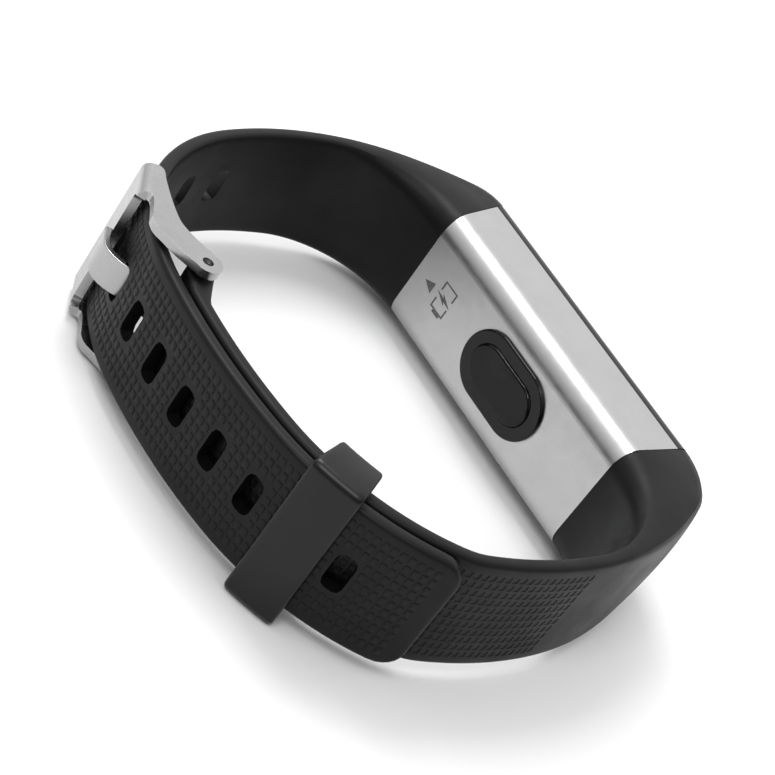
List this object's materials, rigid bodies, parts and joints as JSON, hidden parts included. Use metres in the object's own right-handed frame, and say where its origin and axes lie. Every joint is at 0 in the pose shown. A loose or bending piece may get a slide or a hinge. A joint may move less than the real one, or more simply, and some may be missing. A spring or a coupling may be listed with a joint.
{
  "type": "fitness tracker band",
  "caption": "Slim fitness tracker with a metal-backed case and a textured rubber strap closed in a loop by a pin buckle and a sliding keeper.",
  "frame": {"origin": "bottom centre of the bounding box; the band lies on its side edge on z = 0", "axes": "+X along the case towards its charging end, -Y out of the display, +Y towards the buckle, +Z across the band's width"},
  "size_m": [0.069, 0.0644, 0.02],
  "materials": {
    "satin_cover": "satin",
    "front_glass": "gloss",
    "black_tape": "matte",
    "black_plastic": "matte",
    "dark_display": "gloss",
    "copper": "satin",
    "circuit_board": "satin",
    "chip_black": "matte",
    "battery_foil": "satin",
    "bright_steel": "satin",
    "led_green": "gloss",
    "gloss_black": "gloss",
    "grey_print": "matte",
    "black_rubber": "matte",
    "satin_buckle": "satin"
  },
  "bodies": {
    "case": {"back_cover": "satin_cover", "front_lens": "front_glass", "lens_adhesive": "black_tape", "mid_frame": "black_plastic", "display_module": "dark_display", "touch_pad": "copper", "main_board": "circuit_board", "processor": "chip_black", "memory_chip": "chip_black", "accelerometer": "chip_black", "battery": "battery_foil", "vibration_motor": "bright_steel", "sensor_board": "circuit_board", "sensor_leds": "led_green", "photodiode": "chip_black", "sensor_bezel": "gloss_black", "sensor_window": "gloss_black", "usb_plug": "black_plastic", "plug_contacts": "copper", "charge_mark": "grey_print", "hole_strap": "black_rubber", "buckle_strap": "black_rubber", "buckle_pin": "bright_steel"},
    "frame": {"buckle_frame": "satin_buckle"},
    "tongue": {"buckle_tongue": "satin_buckle"},
    "keeper": {"keeper": "black_rubber"}
  },
  "joints": [
    {"name": "buckle_frame_hinge", "type": "hinge", "parent": "case", "child": "frame", "pos_m": [0.0093, 0.027, 0.01], "axis": [0, 0, 1], "range_deg": [0, 3]},
    {"name": "tongue_hinge", "type": "hinge", "parent": "frame", "child": "tongue", "pos_m": [0.0093, 0.027, 0.01], "axis": [0, 0, 1], "range_deg": [0, 1]},
    {"name": "keeper_slide", "type": "hinge", "parent": "case", "child": "keeper", "pos_m": [-0.00623, -0.00101, 0.01], "axis": [0, 0, 1], "range_deg": [-10, 17]}
  ]
}
